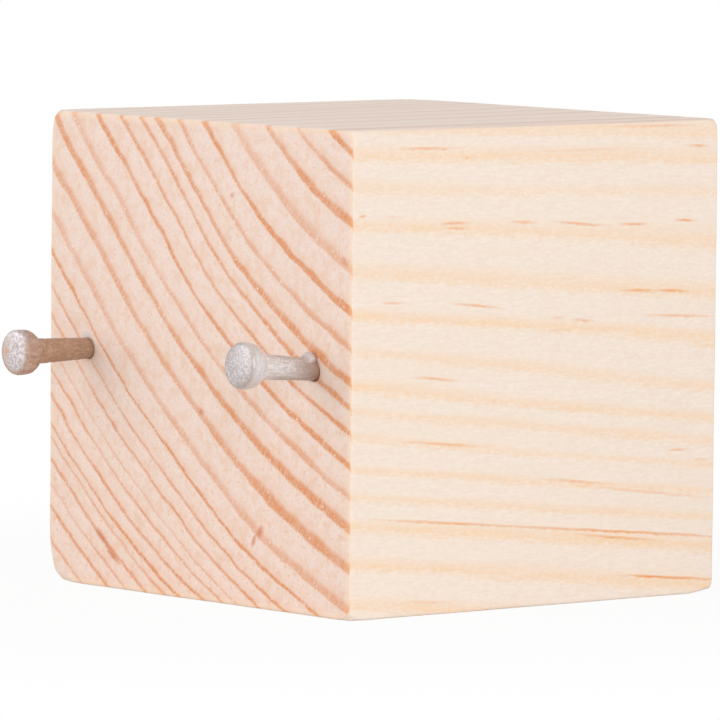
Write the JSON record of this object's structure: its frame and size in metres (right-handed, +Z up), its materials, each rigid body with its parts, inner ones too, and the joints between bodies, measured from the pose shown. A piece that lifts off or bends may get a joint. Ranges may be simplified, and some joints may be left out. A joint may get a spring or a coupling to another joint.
{
  "type": "wooden cube with nail pegs",
  "caption": "Sanded pine cube with galvanised nails driven into its end-grain face, which stand out as pegs to hang a loop, band or wire on.",
  "frame": {"origin": "centre of the cube's underside", "axes": "+Z up; -Y is the front, the way the nails point, and +Y runs along the grain to the back; +X is the cube's right side"},
  "size_m": [0.05, 0.0599, 0.05],
  "materials": {
    "pine": "sanded, unfinished",
    "tarnished_zinc": "galvanised, browned by tarnish",
    "zinc": "galvanised, matt"
  },
  "bodies": {
    "root": {"wood_block": "pine", "left_nail": "tarnished_zinc", "right_nail": "zinc"}
  },
  "joints": []
}
